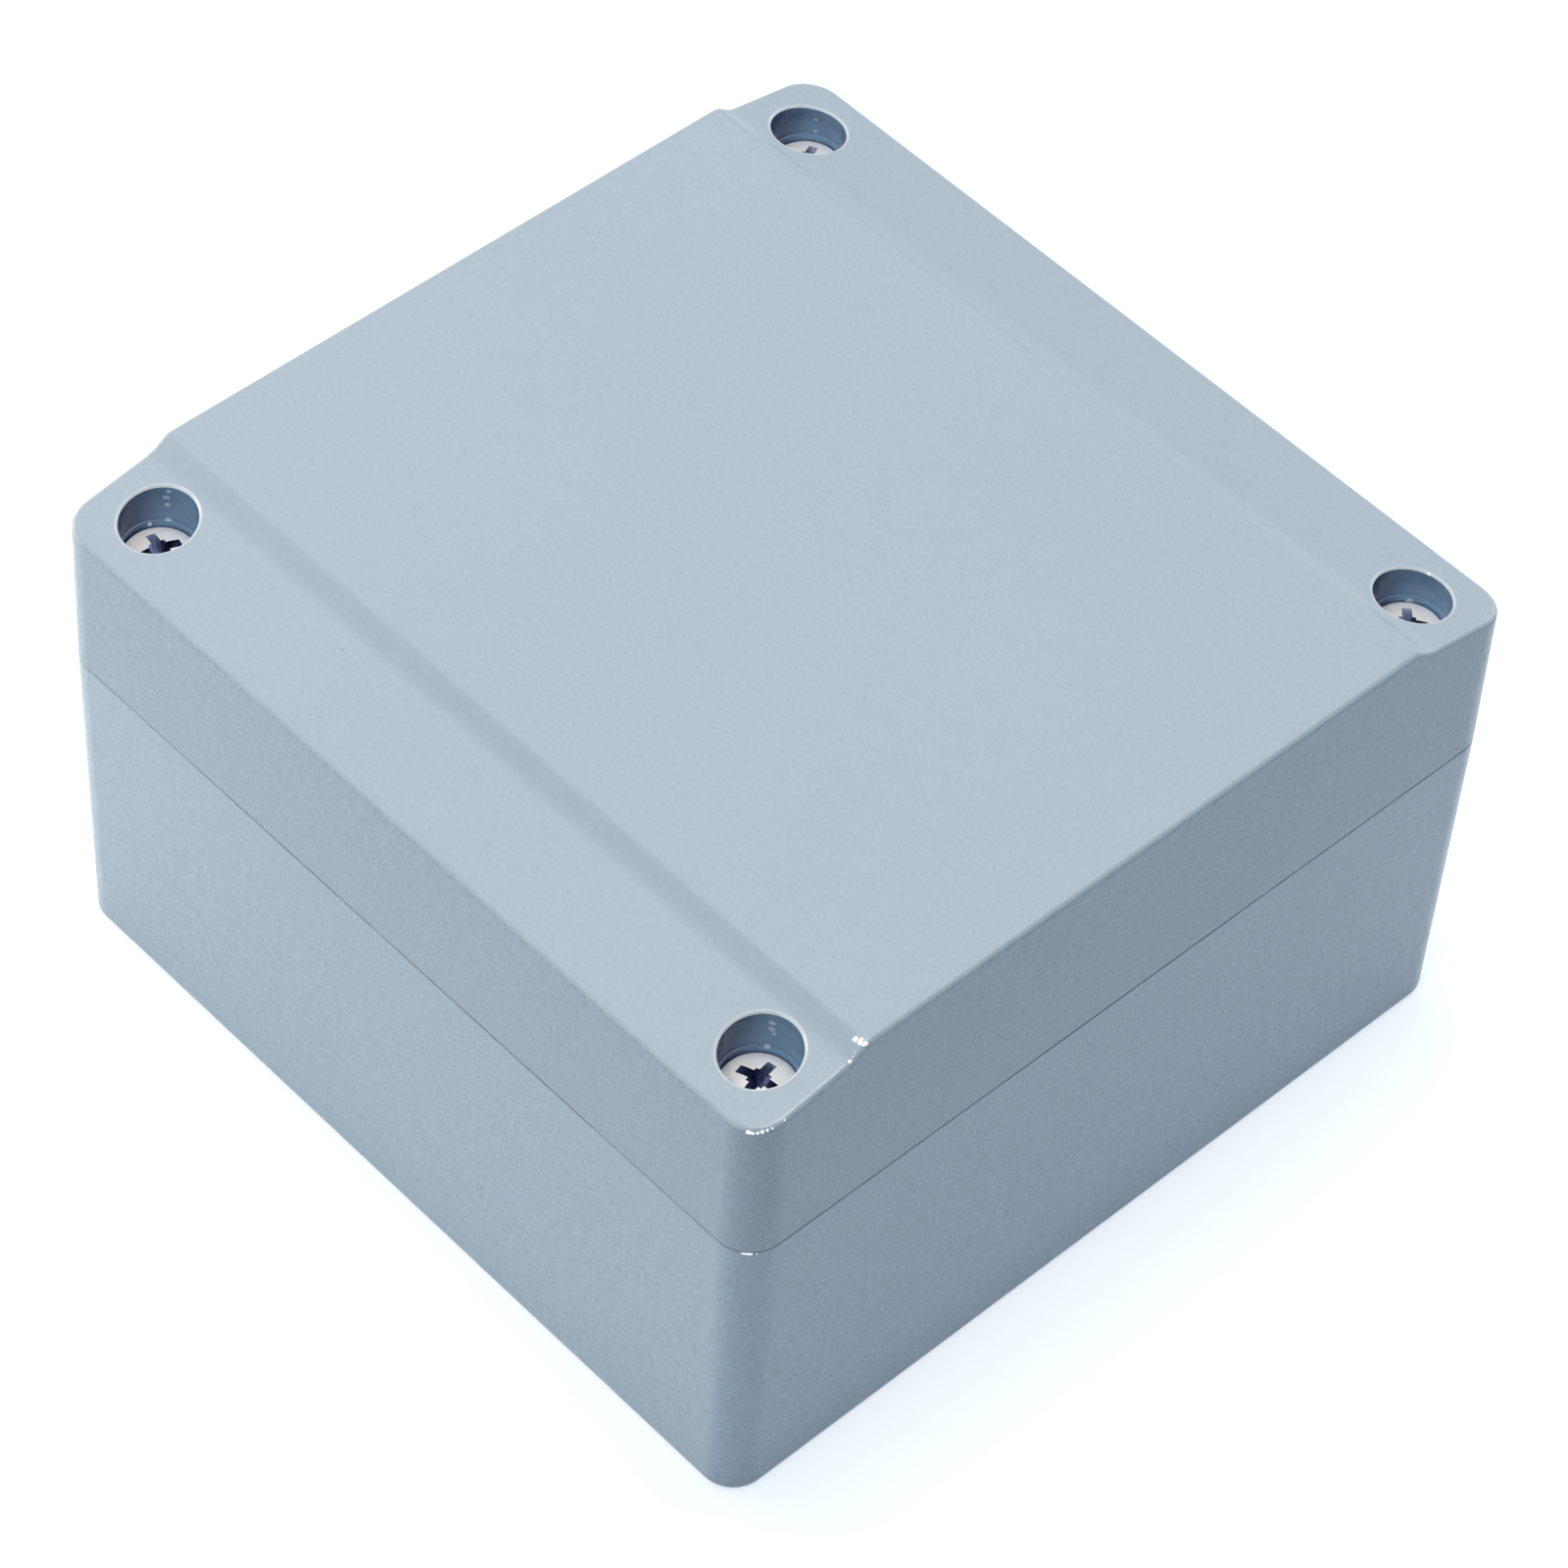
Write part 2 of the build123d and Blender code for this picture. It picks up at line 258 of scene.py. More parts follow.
PAINT = (0.437, 0.543, 0.625)
# Painted shade: the lid's walls are drawn darker than the base's by this factor, for how the light falls on
# them
LID_WALL_PAINTED_SHADE = 0.90
# Painted shade in the screw holes: a darker, bluer colour on their walls, lighter on the lit side and
# deepest on the shaded side
BORE_PAINTED_SHADE_LIT = (0.22, 0.40, 0.60, 1)
BORE_PAINTED_SHADE_DARK = (0.02, 0.045, 0.14, 1)
# Painted shade on the ledges deep in the screw holes
LEDGE_PAINTED_SHADE = (0.34, 0.47, 0.64, 1)
# Colour of the painted highlights down the screw holes' walls
BORE_PAINTED_GLINT = (0.72, 0.88, 1.0, 1)
# Dark colour of the specks, and of the painted shade along the seam
SPECK_AND_SEAM_SHADE_COLOR = (0.10, 0.15, 0.20, 1)
SPECK_STRENGTH = 0.3
# Pale rims of the screw holes: partly bare machined chamfer, partly painted highlight
RIM_METAL_AND_HIGHLIGHT = (0.80, 0.87, 0.92, 1)
BARE_METAL = (0.70, 0.71, 0.72, 1)
# Bright white metal of the worn spots, which partly stand for painted glints
WORN_GLINT_METAL = (1.0, 1.0, 1.0, 1)
SEAM_WANDER = 0.22 * MM
SEAM_HALF_WIDTH = 0.13 * MM
SEAM_EDGE = 0.07 * MM
# Where the painted shade in the holes turns from its dark side to its lit side
BORE_DARK_SHADE_END = -3.8 * MM
BORE_LIT_SHADE_START = 0.6 * MM

# Worn spots that show bare metal on the edges and at the seam, placed where glints show: partly wear, partly
# painted glints
WORN_GLINT_SPOTS = [
    (48.08, -49.15, 56.41, 0.24),
    (48.28, -49.03, 56.38, 0.20),
    (48.46, -48.90, 56.37, 0.19),
    (48.76, -48.59, 56.47, 0.19),
    (49.01, -48.25, 56.57, 0.20),
    (49.23, -47.86, 56.68, 0.18),
    (49.41, -47.44, 56.78, 0.13),
    (49.62, -46.11, 57.07, 0.14),
    (48.46, -36.55, 59.70, 0.34),
    (48.94, -36.47, 59.75, 0.36),
    (49.41, -36.38, 59.77, 0.28),
    (49.20, -37.39, 59.14, 0.08),
    (49.41, -38.15, 58.69, 0.22),
    (48.43, -49.16, 38.61, 0.10),
    (48.60, -49.01, 38.60, 0.11),
    (48.77, -48.87, 38.60, 0.13),
    (48.92, -48.70, 38.60, 0.13),
    (49.08, -48.54, 38.60, 0.12),
    (49.34, -48.18, 38.60, 0.10),
]

# Painted highlights: pale spots down the screw holes' walls
BORE_PAINTED_GLINTS = [
    (40.74, -39.44, 56.94, 0.36),
    (40.69, -39.47, 56.07, 0.34),
    (40.96, -39.31, 55.49, 0.22),
    (40.58, -39.69, 53.58, 0.28),
    (-45.17, -39.64, 57.66, 0.26),
    (-45.34, -39.78, 56.66, 0.34),
    (-45.29, -39.74, 55.71, 0.34),
    (-45.27, -39.72, 53.64, 0.30),
    (-46.26, -41.25, 53.20, 0.26),
    (40.48, 45.80, 52.92, 0.42),
    (-44.99, 46.08, 55.69, 0.22),
    (-45.00, 46.07, 54.03, 0.22),
]
DARK_SPECKS = [(-18.05, -40.42, 58.2, 0.22), (40.6, -49.9, 38.2, 0.22)]


def paint_tone_and_lid_shade(tree, place, height, sideways, blotches, grain):
    """Broad clouds, small blotches, and a grain that shows most on the walls; the lid's walls get painted
    shade, drawn darker for how the light falls on them.
    """
    clouds = noise(tree, place, 45, detail=3)
    grain_depth = ramp(tree, sideways, 0.0, 1.0, 0.16, 0.50)
    grained = math_node(tree, "MULTIPLY_ADD", math_node(tree, "SUBTRACT", grain, 0.5), grain_depth, 1.0)
    on_lid_wall = times(tree, sideways, ramp(tree, height, SEAM_Z, SEAM_Z + 0.1 * MM))
    lid_wall_shade = ramp(tree, on_lid_wall, 0.0, 1.0, 1.0, LID_WALL_PAINTED_SHADE)
    return times(tree, varied(tree, clouds, 0.05), varied(tree, blotches, 0.05), grained, lid_wall_shade)


def bore_masks(tree, height, upward, hole_radius):
    """Masks of the screw holes' rims, of their walls and of the ledges in them."""
    at_mouth = ramp(tree, height, MOUTH_LOW_Z - WIDE_EDGE, MOUTH_LOW_Z)
    slanted = times(tree, ramp(tree, upward, 0.25, 0.40), at_mouth)
    on_rim = times(tree, slanted, within(tree, hole_radius, LIP_RADIUS))
    above_seat = ramp(tree, height, SEAT_FOOT_Z, SEAT_FOOT_Z + 0.1 * MM)
    not_slanted = math_node(tree, "SUBTRACT", 1.0, slanted)
    in_bore = times(tree, within(tree, hole_radius, BORE_RADIUS, 0.05 * MM), above_seat, not_slanted)
    on_ledge = times(tree, in_bore, ramp(tree, upward, 0.6, 0.9))
    return on_rim, in_bore, on_ledge


def bore_painted_shade(tree, place):
    """Painted shade in the screw holes: a darker, bluer colour, deepest on one side and lighter on the side
    the light reaches.
    """
    across, along, _ = split(tree, place)
    off_axis = math_node(tree, "ADD", past_hole(tree, across, SCREW_X), past_hole(tree, along, SCREW_Y))
    lit = ramp(tree, times(tree, off_axis, sqrt(0.5)), BORE_DARK_SHADE_END, BORE_LIT_SHADE_START)
    return mix(tree, "RGBA", lit, BORE_PAINTED_SHADE_DARK, BORE_PAINTED_SHADE_LIT)


def seam_painted_shade(tree, place, height):
    """A thin uneven line of painted shade along the seam between the castings."""
    wander = math_node(tree, "MULTIPLY_ADD", noise(tree, place, 700), SEAM_WANDER, -SEAM_WANDER / 2)
    wandering_height = math_node(tree, "ADD", height, wander)
    in_seam = band(tree, wandering_height, SEAM_Z - SEAM_HALF_WIDTH, SEAM_Z + SEAM_HALF_WIDTH, SEAM_EDGE)
    return times(tree, in_seam, ramp(tree, noise(tree, place, 90), 0.35, 0.65, 0.1, 0.5))


def bare_masks(tree, place, height, hole_radius):
    """Masks of the bare metal inside: all of it, and the tapped holes alone."""
    below_spigots = ramp(tree, height, SPIGOT_TOP_Z + WIDE_EDGE, SPIGOT_TOP_Z)
    in_tap = times(tree, within(tree, hole_radius, TAP_RADIUS), below_spigots)
    at_spigot_top = band(tree, height, SPIGOT_TOP_Z - MASK_EDGE, SPIGOT_TOP_Z + 0.02 * MM)
    on_spigot = times(tree, at_spigot_top, within(tree, hole_radius, SPIGOT_FACE_RADIUS))
    inside_tub = ramp(tree, height, TUB_PARTS_TOP_Z + WIDE_EDGE, TUB_PARTS_TOP_Z)
    pillar_radius = radius_about(tree, place, PILLAR_X, PILLAR_Y)
    in_pillar = times(tree, inside_tub, within(tree, pillar_radius, PILLAR_HOLE_RADIUS))
    earth_radius = radius_about(tree, place, EARTH_X, 0.0, mirrored=False)
    at_earth_top = band(tree, height, EARTH_PILLAR_TOP_Z - 0.02 * MM, EARTH_PILLAR_TOP_Z + 0.1 * MM)
    on_earth = times(tree, at_earth_top, within(tree, earth_radius, EARTH_FACE_RADIUS))
    in_earth = times(tree, inside_tub, within(tree, earth_radius, TAP_RADIUS))
    threaded = largest(tree, in_tap, in_earth, in_pillar)
    above_underside = ramp(tree, height, UNDERSIDE_TOP_Z, UNDERSIDE_TOP_Z + WIDE_EDGE)
    bare = times(tree, largest(tree, threaded, on_spigot, on_earth), above_underside)
    return bare, threaded


def paint_surface(tree, place, height, sideways, grain, in_bore, threaded):
    """Orange peel and grain, turning marks down the screw holes and thread marks in the tapped ones."""
    strength = ramp(tree, sideways, 0.0, 1.0, 0.08, 0.34)
    surface = bump(tree, noise(tree, place, 900, detail=3), strength, 0.2 * MM)
    surface = bump(tree, grain, strength, 0.08 * MM, surface)
    ring_place = add_node(tree, "ShaderNodeCombineXYZ", {2: height}).outputs[0]
    surface = bump(tree, noise(tree, ring_place, 1800), in_bore, 0.3 * MM, surface)
    wave = {"Vector": ring_place, "Scale": pi / 20 / THREAD_PITCH}
    threads = add_node(tree, "ShaderNodeTexWave", wave, bands_direction="Z", wave_profile="TRI")
    return bump(tree, threads.outputs["Fac"], times(tree, threaded, 0.8), 0.3 * MM, surface)


def make_case_paint():
    """Satin powder coat with fine orange peel and its bare places, worn spots that also stand for glints,
    and painted shade and highlights on the lid's walls, the seam, the hole rims and the screw holes.
    """
    material, tree, shader, space = start_material("powder_coat_with_painted_light")
    place = space["Object"]
    height = split(tree, place)[2]
    upward = math_node(tree, "ABSOLUTE", split(tree, space["Normal"])[2])
    sideways = ramp(tree, upward, 0.3, 0.9, 1.0, 0.0)
    hole_radius = radius_about(tree, place, SCREW_X, SCREW_Y)
    blotches = noise(tree, place, 420)
    grain = noise(tree, place, 2400)
    on_rim, in_bore, on_ledge = bore_masks(tree, height, upward, hole_radius)
    bare, threaded = bare_masks(tree, place, height, hole_radius)
    worn_glint = spots(tree, place, WORN_GLINT_SPOTS)
    bare = largest(tree, bare, worn_glint)

    color = scale_color(tree, PAINT, paint_tone_and_lid_shade(tree, place, height, sideways, blotches, grain))
    layers = [
        # Painted shade along the seam
        (seam_painted_shade(tree, place, height), SPECK_AND_SEAM_SHADE_COLOR),
        # Small dark specks
        (times(tree, spots(tree, place, DARK_SPECKS), SPECK_STRENGTH), SPECK_AND_SEAM_SHADE_COLOR),
        # Painted shade in the screw holes and on the ledges in them
        (in_bore, bore_painted_shade(tree, place)),
        (on_ledge, LEDGE_PAINTED_SHADE),
        # Painted highlights: pale spots down the holes' walls
        (spots(tree, place, BORE_PAINTED_GLINTS), BORE_PAINTED_GLINT),
        # Pale hole rims: partly machined chamfer, partly painted highlight
        (on_rim, RIM_METAL_AND_HIGHLIGHT),
        # Bare metal, and the worn spots: partly wear, partly painted glints
        (bare, mix(tree, "RGBA", worn_glint, BARE_METAL, WORN_GLINT_METAL)),
    ]
    for mask, layer in layers:
        color = mix(tree, "RGBA", mask, color, layer)
    tree.links.new(color, shader.inputs["Base Color"])
    tree.links.new(bare, shader.inputs["Metallic"])
    surface = paint_surface(tree, place, height, sideways, grain, in_bore, threaded)
    tree.links.new(surface, shader.inputs["Normal"])

    roughness = ramp(tree, blotches, 0.3, 0.7, 0.36, 0.44)
    for mask, layer in ((in_bore, 0.14), (largest(tree, bare, on_rim), 0.3), (worn_glint, 0.12)):
        roughness = mix(tree, "FLOAT", mask, roughness, layer)
    tree.links.new(roughness, shader.inputs["Roughness"])
    shader.inputs["Specular IOR Level"].default_value = 0.4
    shader.inputs["Coat Weight"].default_value = 0.35
    shader.inputs["Coat Roughness"].default_value = 0.06
    return material


# Metals and rubber

SIDE_PLATING = (0.78, 0.77, 0.75, 1)
# Painted light: the heads' tops take a pale, hardly metallic white and a rougher finish, so they show bright
HEAD_TOP_PAINTED_LIGHT = (1.0, 0.99, 0.97, 1)
TOP_ROUGHNESS = 0.42
TOP_METALLIC = 0.05
# Painted shade: the cross recess takes a darker, bluer metal
RECESS_PAINTED_SHADE = (0.30, 0.33, 0.45)
ZINC = (0.72, 0.70, 0.63)
RUBBER = (0.030, 0.030, 0.033)


def make_screw_steel():
    """Bright plated steel with fine turning marks, and painted light on the heads' tops: a pale white that
    is hardly metallic, so they show bright.
    """
    material, tree, shader, space = start_material("plating_with_painted_light_tops")
    place = space["Object"]
    clouds = noise(tree, place, 1100, detail=3)
    height = split(tree, place)[2]
    facing_up = ramp(tree, split(tree, space["Normal"])[2], 0.5, 0.7)
    on_top = times(tree, facing_up, ramp(tree, height, HEAD_EDGE_Z - 0.1 * MM, HEAD_EDGE_Z))
    color = mix(tree, "RGBA", on_top, SIDE_PLATING, HEAD_TOP_PAINTED_LIGHT)
    roughness = ramp(tree, clouds, 0.3, 0.7, 0.20, 0.30)
    tree.links.new(scale_color(tree, color, varied(tree, clouds, 0.10)), shader.inputs["Base Color"])
    tree.links.new(mix(tree, "FLOAT", on_top, roughness, TOP_ROUGHNESS), shader.inputs["Roughness"])
    tree.links.new(mix(tree, "FLOAT", on_top, 1.0, TOP_METALLIC), shader.inputs["Metallic"])
    tree.links.new(bump(tree, noise(tree, place, 6000), 0.06, 0.02 * MM), shader.inputs["Normal"])
    return material


def make_clouded_metal(name, color, scale, detail, depth, roughness_low, roughness_high):
    """Metal whose tint and roughness vary with one noise."""
    material, tree, shader, space = start_material(name)
    clouds = noise(tree, space["Object"], scale, detail)
    roughness = ramp(tree, clouds, 0.3, 0.7, roughness_low, roughness_high)
    tree.links.new(scale_color(tree, color, varied(tree, clouds, depth)), shader.inputs["Base Color"])
    tree.links.new(roughness, shader.inputs["Roughness"])
    shader.inputs["Metallic"].default_value = 1.0
    return material


def make_seal_rubber():
    """Matt black cord rubber with a fine skin."""
    material, tree, shader, space = start_material("cord_rubber")
    clouds = noise(tree, space["Object"], 120)
    skin = noise(tree, space["Object"], 3500, detail=3)
    tree.links.new(scale_color(tree, RUBBER, varied(tree, clouds, 0.5)), shader.inputs["Base Color"])
    tree.links.new(bump(tree, skin, 0.3, 0.05 * MM), shader.inputs["Normal"])
    shader.inputs["Roughness"].default_value = 0.75
    return material


case_paint = make_case_paint()
screw_steel = make_screw_steel()
# Painted shade: the faces of the cross recess take a darker, bluer metal
recess_shade_steel = make_clouded_metal("recess_painted_shade", RECESS_PAINTED_SHADE, 1600, 3, 0.6, 0.14, 0.24)
earth_steel = make_clouded_metal("zinc_plating", ZINC, 700, 4, 0.2, 0.25, 0.40)
finishes = {
    "base": case_paint,
    "lid": case_paint,
    "gasket": make_seal_rubber(),
    "earth_plain_washer": earth_steel,
    "earth_toothed_washer": earth_steel,
}
for node_name, finish in finishes.items():
    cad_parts[node_name].material_slots[0].material = finish


# Screws


def thread_cut(turn, z, top_z, end_z):
    """How deep the thread's groove is at this turn (0 to 1) and height, easing in at both ends."""
    if not end_z < z < top_z:
        return 0.0
    phase = (z / THREAD_PITCH - turn) % 1.0
    groove = GROOVE_STEEPNESS * (1.0 - abs(2.0 * phase - 1.0)) - GROOVE_CREST
    ease = min(1.0, (top_z - z) / THREAD_PITCH, (z - end_z) / (0.5 * THREAD_PITCH))
    return THREAD_DEPTH * min(1.0, max(0.0, groove)) * ease


def turned_body(profile, thread_top, thread_end):
    """A closed turned form from its half profile, top first, with a right-hand thread in one stretch."""
    form = bmesh.new()
    rings = []
    for radius, z in profile:
        ring = []
        for step in range(RING_POINTS):
            turn = step / RING_POINTS
            r = radius - thread_cut(turn, z, thread_top, thread_end)
            ring.append(form.verts.new((r * cos(2 * pi * turn), r * sin(2 * pi * turn), z)))
        rings.append(ring)
    for upper, lower in zip(rings, rings[1:]):
        for step in range(RING_POINTS):
            after = (step + 1) % RING_POINTS
            form.faces.new((upper[step], lower[step], lower[after], upper[after]))
    for ring, z, flip in ((rings[0], profile[0][1], False), (rings[-1], profile[-1][1], True)):
        centre = form.verts.new((0, 0, z))
        for step in range(RING_POINTS):
            pair = (ring[step], ring[(step + 1) % RING_POINTS])
            form.faces.new((centre, *(reversed(pair) if flip else pair)))
    return form


def threaded_rows(top_z, end_z):
    """Profile points down the threaded stretch, finely spaced."""
    row_count = round((top_z - end_z) / THREAD_PITCH * ROWS_PER_PITCH)
    return [(THREAD_RADIUS, top_z + (end_z - top_z) * row / row_count) for row in range(row_count + 1)]


def turn_form(form, degrees):
    """Turns a bmesh about the Z axis."""
    turn = Matrix.Rotation(radians(degrees), 3, "Z")
    bmesh.ops.rotate(form, cent=(0, 0, 0), matrix=turn, verts=form.verts)


def tapered_prism(width, slot, foot_width, foot_slot, top_z, foot_z):
    """A blade that narrows downward in both directions."""
    prism = bmesh.new()
    signs = ((-1, -1), (1, -1), (1, 1), (-1, 1))
    top = [prism.verts.new((sx * width / 2, sy * slot / 2, top_z)) for sx, sy in signs]
    foot = [prism.verts.new((sx * foot_width / 2, sy * foot_slot / 2, foot_z)) for sx, sy in signs]
    prism.faces.new(top)
    prism.faces.new(list(reversed(foot)))
    for side in range(4):
        after = (side + 1) % 4
        prism.faces.new((top[side], foot[side], foot[after], top[after]))
    bmesh.ops.recalc_face_normals(prism, faces=prism.faces)
    return prism


def square_cone(radius, foot_radius, top_z, foot_z):
    """A closed cone with four sides, wide at the top and square to the axes."""
    form = bmesh.new()
    size = {"segments": 4, "radius1": foot_radius, "radius2": radius, "depth": top_z - foot_z}
    middle = Matrix.Translation((0, 0, (top_z + foot_z) / 2))
    bmesh.ops.create_cone(form, cap_ends=True, matrix=middle, **size)
    turn_form(form, 45)
    return form


def to_object(form, name):
    """Turns a bmesh into an object in the scene."""
    mesh = bpy.data.meshes.new(name)
    form.to_mesh(mesh)
    form.free()
    made = bpy.data.objects.new(name, mesh)
    bpy.context.scene.collection.objects.link(made)
    return made


def recess_cutters(head_top_z):
    """The two blades and the core of the cross recess, kept to size at the head's top."""
    above = head_top_z + RECESS_CLEARANCE
    foot_z = head_top_z - RECESS_DEPTH
    width_slope = (RECESS_WIDTH - RECESS_SLOT) / RECESS_DEPTH
    slot_slope = (RECESS_SLOT - RECESS_FLOOR_SLOT) / RECESS_DEPTH
    core_slope = (RECESS_CORE - RECESS_CORE_FOOT) / RECESS_DEPTH
    width_above = RECESS_WIDTH + width_slope * RECESS_CLEARANCE
    slot_above = RECESS_SLOT + slot_slope * RECESS_CLEARANCE
    core_above = RECESS_CORE + core_slope * RECESS_CLEARANCE
    cutters = []
    for turn in (0, 90):
        blade = tapered_prism(width_above, slot_above, RECESS_SLOT, RECESS_FLOOR_SLOT, above, foot_z)
        turn_form(blade, turn)
        cutters.append(to_object(blade, "blade"))
    core = square_cone(core_above, RECESS_CORE_FOOT, above, foot_z - RECESS_CORE_EXTRA)
    cutters.append(to_object(core, "core"))
    return cutters


def cut_recess(body, head_top_z):
    """Punches the cross recess into a screw's head; its faces take the second material."""
    cutters = recess_cutters(head_top_z)
    for cutter in cutters:
        cutter.data.materials.append(recess_shade_steel)
        cut = body.modifiers.new("recess", "BOOLEAN")
        cut.operation = "DIFFERENCE"
        cut.solver = "EXACT"
        cut.material_mode = "TRANSFER"
        cut.object = cutter
    bpy.context.view_layer.update()
    shaped = bpy.data.meshes.new_from_object(body.evaluated_get(bpy.context.evaluated_depsgraph_get()))
    body.modifiers.clear()
    body.data = shaped
    for cutter in cutters:
        bpy.data.objects.remove(cutter)


def lid_screw_profile():
    """Half profile of a lid screw, with the edge of its head at height 0."""
    dome_radius = (HEAD_RADIUS**2 + HEAD_DOME**2) / (2 * HEAD_DOME)
    points = []
    for step in range(1, DOME_STEPS + 1):
        r = HEAD_RADIUS * step / DOME_STEPS
        points.append((r, HEAD_DOME - dome_radius + sqrt(dome_radius**2 - r**2)))
    neck_z = -HEAD_RIM - (HEAD_RADIUS - SHANK_RADIUS)
    shank_foot_z = neck_z - SHANK_LENGTH
    thread_top_z = shank_foot_z - (THREAD_RADIUS - SHANK_RADIUS)
    thread_end_z = TIP_CHAMFER - SCREW_LENGTH
    points += [(HEAD_RADIUS, -HEAD_RIM), (SHANK_RADIUS, neck_z), (SHANK_RADIUS, shank_foot_z)]
    points += threaded_rows(thread_top_z, thread_end_z)
    points.append((THREAD_RADIUS - TIP_CHAMFER, -SCREW_LENGTH))
    return points, thread_top_z, thread_end_z


def earth_screw_profile():
    """Half profile of the pan head screw, with the underside of its head at height 0."""
    flat_radius = EARTH_HEAD_RADIUS - EARTH_HEAD_ROUND
    points = [(flat_radius, EARTH_HEAD_HEIGHT)]
    for step in range(1, HEAD_ROUND_STEPS + 1):
        angle = radians(90 - 90 * step / HEAD_ROUND_STEPS)
        r = flat_radius + EARTH_HEAD_ROUND * cos(angle)
        points.append((r, EARTH_HEAD_HEIGHT - EARTH_HEAD_ROUND + EARTH_HEAD_ROUND * sin(angle)))
    thread_top_z = -EARTH_THREAD_GAP
    thread_end_z = TIP_CHAMFER - EARTH_SCREW_LENGTH
    points += [(EARTH_HEAD_RADIUS, 0.0), (THREAD_RADIUS, 0.0)]
    points += threaded_rows(thread_top_z, thread_end_z)
    points.append((THREAD_RADIUS - TIP_CHAMFER, -EARTH_SCREW_LENGTH))
    return points, thread_top_z, thread_end_z


def finish_screw(profile, head_top_z, metal, name):
    """Makes one screw on the Z axis, smooth where it is turned and sharp at its edges."""
    screw = to_object(turned_body(*profile), name)
    screw.data.materials.append(metal)
    screw.data.materials.append(recess_shade_steel)
    cut_recess(screw, head_top_z)
    screw.data.name = name
    shade = bmesh.new()
    shade.from_mesh(screw.data)
    bmesh.ops.remove_doubles(shade, verts=shade.verts, dist=WELD_DISTANCE)
    for face in shade.faces:
        face.smooth = True
    for edge in shade.edges:
        if len(edge.link_faces) == 2:
            edge.smooth = edge.calc_face_angle() < SHARP_ANGLE
    shade.to_mesh(screw.data)
    shade.free()
    return screw


def place_screw(screw, node_name, place, turn):
    """Moves the mesh of a screw made on the Z axis to its place, where it stands in for its solid."""
    screw.data.transform(Matrix.Translation(place) @ Matrix.Rotation(radians(turn), 4, "Z"))
    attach(screw, node_name)
    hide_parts(node_name)


lid_screw = finish_screw(lid_screw_profile(), HEAD_DOME, screw_steel, "lid_screw")
for side, turn in SCREW_TURNS.items():
    node_name = f"lid_screw_{side}"
    low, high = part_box(node_name)
    screw = bpy.data.objects.new(f"threaded_{node_name}", lid_screw.data.copy())
    bpy.context.scene.collection.objects.link(screw)
    place = ((low.x + high.x) / 2, (low.y + high.y) / 2, HEAD_EDGE_Z)
    place_screw(screw, node_name, place, turn)
bpy.data.objects.remove(lid_screw)

earth_screw = finish_screw(earth_screw_profile(), EARTH_HEAD_HEIGHT, earth_steel, "threaded_earth_screw")
place_screw(earth_screw, "earth_screw", (EARTH_X, 0.0, EARTH_SEAT_Z), EARTH_SCREW_TURN)


# Studio

FLOOR_HALF_WIDTH = 6.0
FLOOR_COLOR = (0.71, 0.81, 0.90, 1)
FLOOR_GLOW = (0.56, 0.56, 0.56, 1)
FLOOR_BOUNCE = (0.0, 0.01, 0.06, 1)
LIGHTS_AIM = Vector((0, 0, 0.03))

# Each softbox: name, direction from the box, distance, size, level and colour
SOFTBOXES = [
    ("left_light", (-0.85, -0.5, 0.15), 0.35, 0.2, 0.42, (1.0, 0.87, 0.73)),
    ("front_light", (-0.25, -0.95, 0.45), 0.8, 0.5, 0.156, (0.73, 0.96, 1.0)),
    ("top_light", (0, 0, 1), 1.0, 0.4, 0.46, (1.0, 0.96, 0.94)),
    ("back_left_light", (-0.45, 0.3, 0.85), 1.2, 1.0, 0.22, (1.0, 0.97, 0.94)),
    ("back_light", (0, 1, 0.35), 0.9, 0.6, 0.269, (1.0, 0.96, 0.86)),
    ("right_light", (0.7, 0.7, 0.5), 0.9, 0.6, 0.068, (0.0, 0.56, 1.0)),
    ("far_left_light", (-1, 0, 0.9), 0.9, 0.5, 0.066, (0.51, 0.63, 1.0)),
    ("camera_light", (0.095, -0.27, 0.42), 0.51, 0.03, 0.1, (1.0, 0.9, 0.85)),
]


def seen_mask(tree):
    """1 for what the camera sees itself, in a gloss or through a clear surface, and 0 for lighting."""
    path = add_node(tree, "ShaderNodeLightPath").outputs
    seen = math_node(tree, "ADD", path["Is Camera Ray"], path["Is Glossy Ray"], clamp=True)
    return math_node(tree, "ADD", seen, path["Is Transmission Ray"], clamp=True)


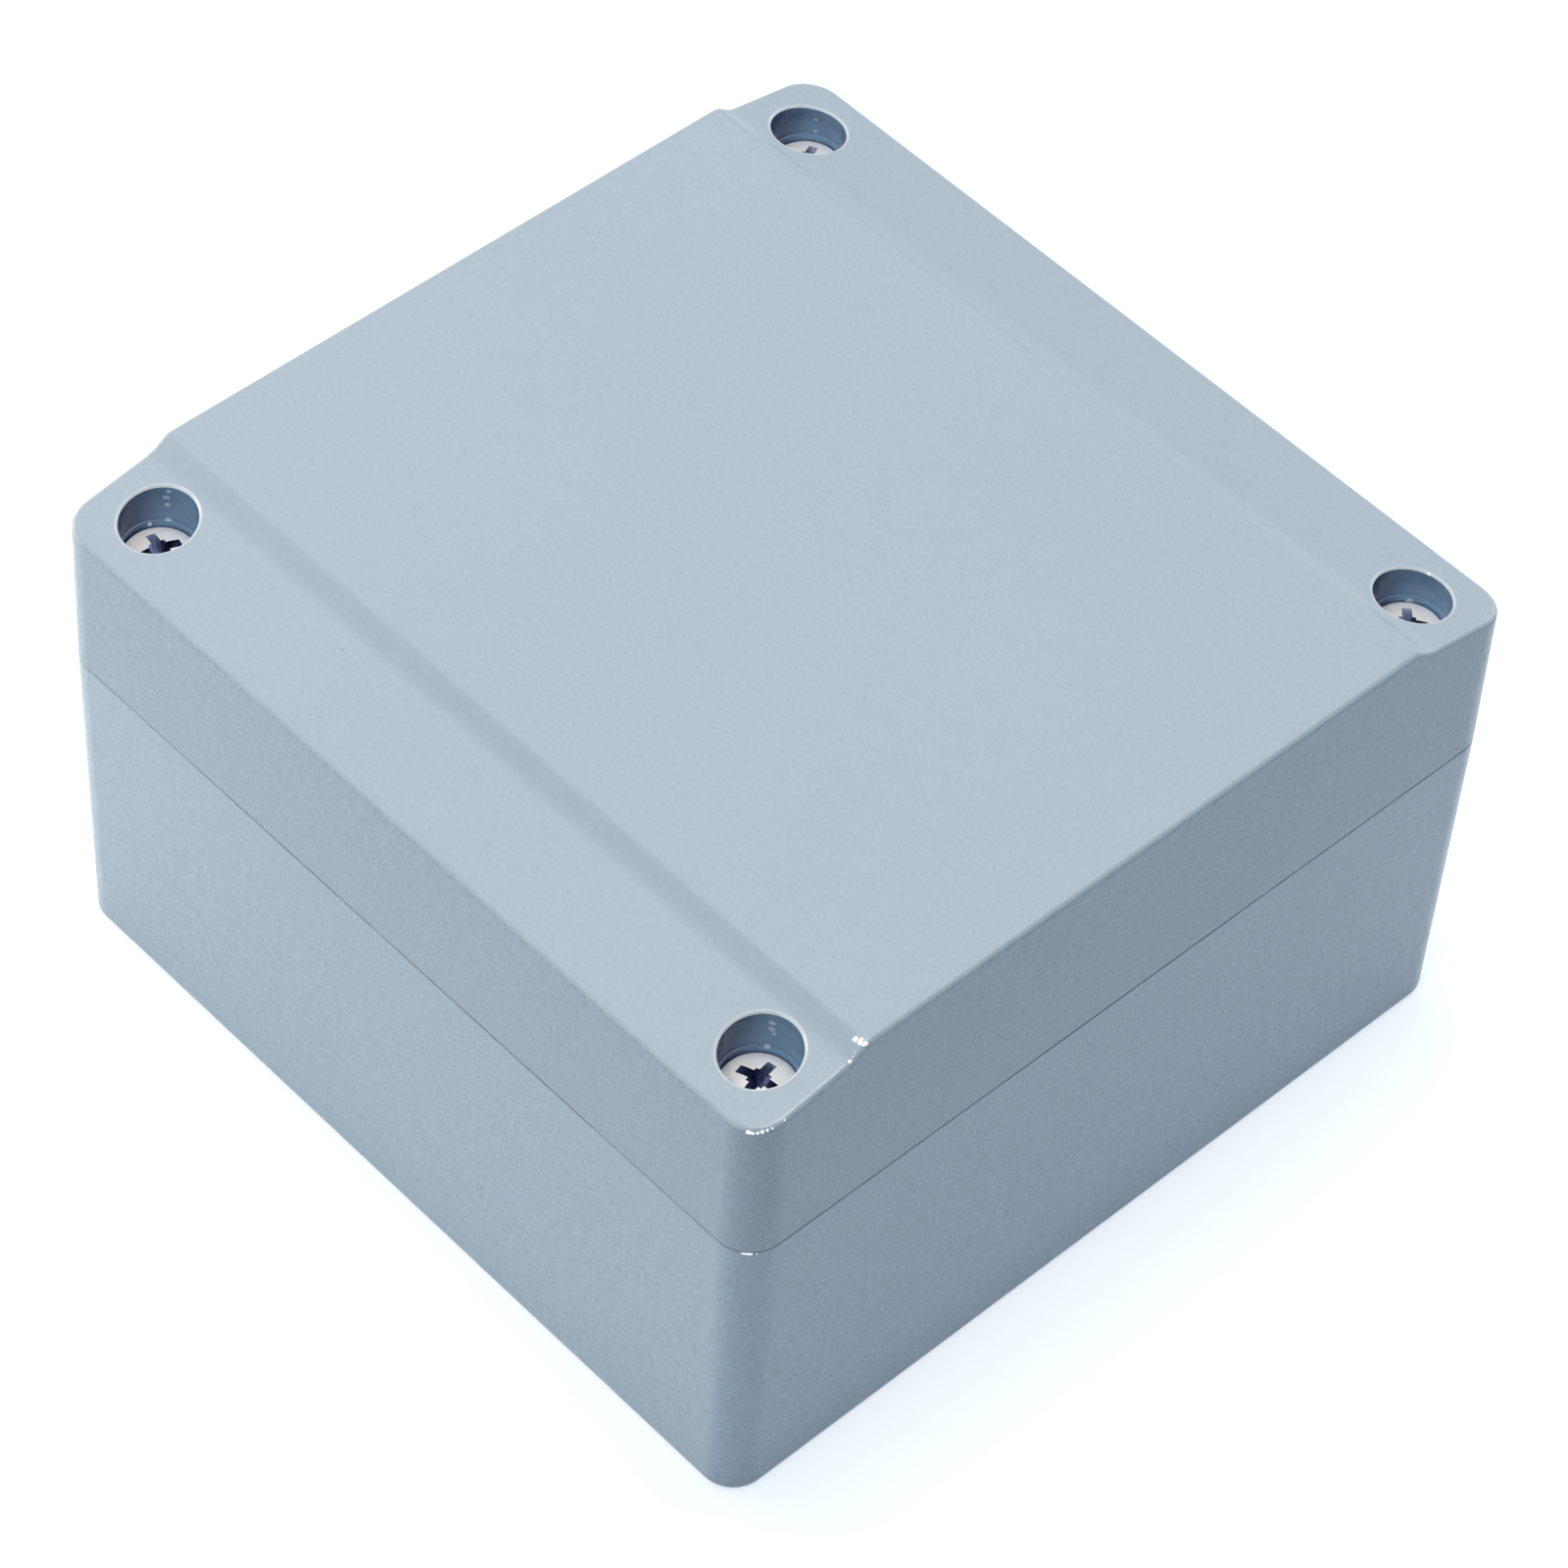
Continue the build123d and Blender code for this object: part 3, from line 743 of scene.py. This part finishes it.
def make_floor():
    """A wide white floor that keeps the box's shadow and can be looked through from below."""
    mesh = bpy.data.meshes.new("floor")
    half = FLOOR_HALF_WIDTH
    corners = [(-half, -half, 0), (half, -half, 0), (half, half, 0), (-half, half, 0)]
    mesh.from_pydata(corners, [], [(0, 1, 2, 3)])
    floor = bpy.data.objects.new("floor", mesh)
    bpy.context.scene.collection.objects.link(floor)
    material = bpy.data.materials.new("floor_white")
    material.use_nodes = True
    tree = material.node_tree
    tree.nodes.clear()
    paper = add_node(tree, "ShaderNodeBsdfDiffuse", {"Color": FLOOR_COLOR})
    glow_color = mix(tree, "RGBA", seen_mask(tree), FLOOR_BOUNCE, FLOOR_GLOW)
    glow = add_node(tree, "ShaderNodeEmission", {"Color": glow_color, "Strength": 1.0})
    both = add_node(tree, "ShaderNodeAddShader", {0: paper.outputs[0], 1: glow.outputs[0]})
    below = add_node(tree, "ShaderNodeNewGeometry").outputs["Backfacing"]
    clear = add_node(tree, "ShaderNodeBsdfTransparent")
    result = add_node(tree, "ShaderNodeMixShader", {0: below, 1: both.outputs[0], 2: clear.outputs[0]})
    add_node(tree, "ShaderNodeOutputMaterial", {"Surface": result.outputs[0]})
    mesh.materials.append(material)


def make_world():
    """A white background for the camera, metal and gloss, that lights nothing by itself."""
    world = bpy.data.worlds.new("studio")
    bpy.context.scene.world = world
    world.use_nodes = True
    tree = world.node_tree
    tree.nodes.clear()
    white = add_node(tree, "ShaderNodeBackground", {"Color": (1, 1, 1, 1), "Strength": 1.0})
    dark = add_node(tree, "ShaderNodeBackground", {"Color": (0, 0, 0, 1), "Strength": 0.0})
    parts = {0: seen_mask(tree), 1: dark.outputs[0], 2: white.outputs[0]}
    result = add_node(tree, "ShaderNodeMixShader", parts)
    add_node(tree, "ShaderNodeOutputWorld", {"Surface": result.outputs[0]})


def make_softbox(name, direction, distance, size, level, color):
    """A square soft light aimed at the box; level is what a white surface facing it would show."""
    lamp = bpy.data.lights.new(name, "AREA")
    lamp.shape = "SQUARE"
    lamp.size = size
    lamp.energy = level * pi * pi * distance**2
    lamp.color = color
    softbox = bpy.data.objects.new(name, lamp)
    bpy.context.scene.collection.objects.link(softbox)
    away = Vector(direction).normalized()
    softbox.location = LIGHTS_AIM + away * distance
    softbox.rotation_euler = away.to_track_quat("Z", "Y").to_euler()
    softbox.visible_camera = False


def make_camera():
    """The photograph's viewpoint."""
    data = bpy.data.cameras.new("camera")
    data.lens = CAMERA_LENS
    data.sensor_width = SENSOR_WIDTH
    camera = bpy.data.objects.new("camera", data)
    bpy.context.scene.collection.objects.link(camera)
    camera.location = CAMERA_PLACE
    aim = (CAMERA_TARGET - CAMERA_PLACE).to_track_quat("-Z", "Y")
    roll = Euler((0, 0, CAMERA_ROLL)).to_quaternion()
    camera.rotation_euler = (aim @ roll).to_euler()
    bpy.context.scene.camera = camera


make_floor()
make_world()
for softbox_values in SOFTBOXES:
    make_softbox(*softbox_values)
make_camera()
bpy.context.scene.view_settings.view_transform = "Standard"

bpy.context.view_layer.update()
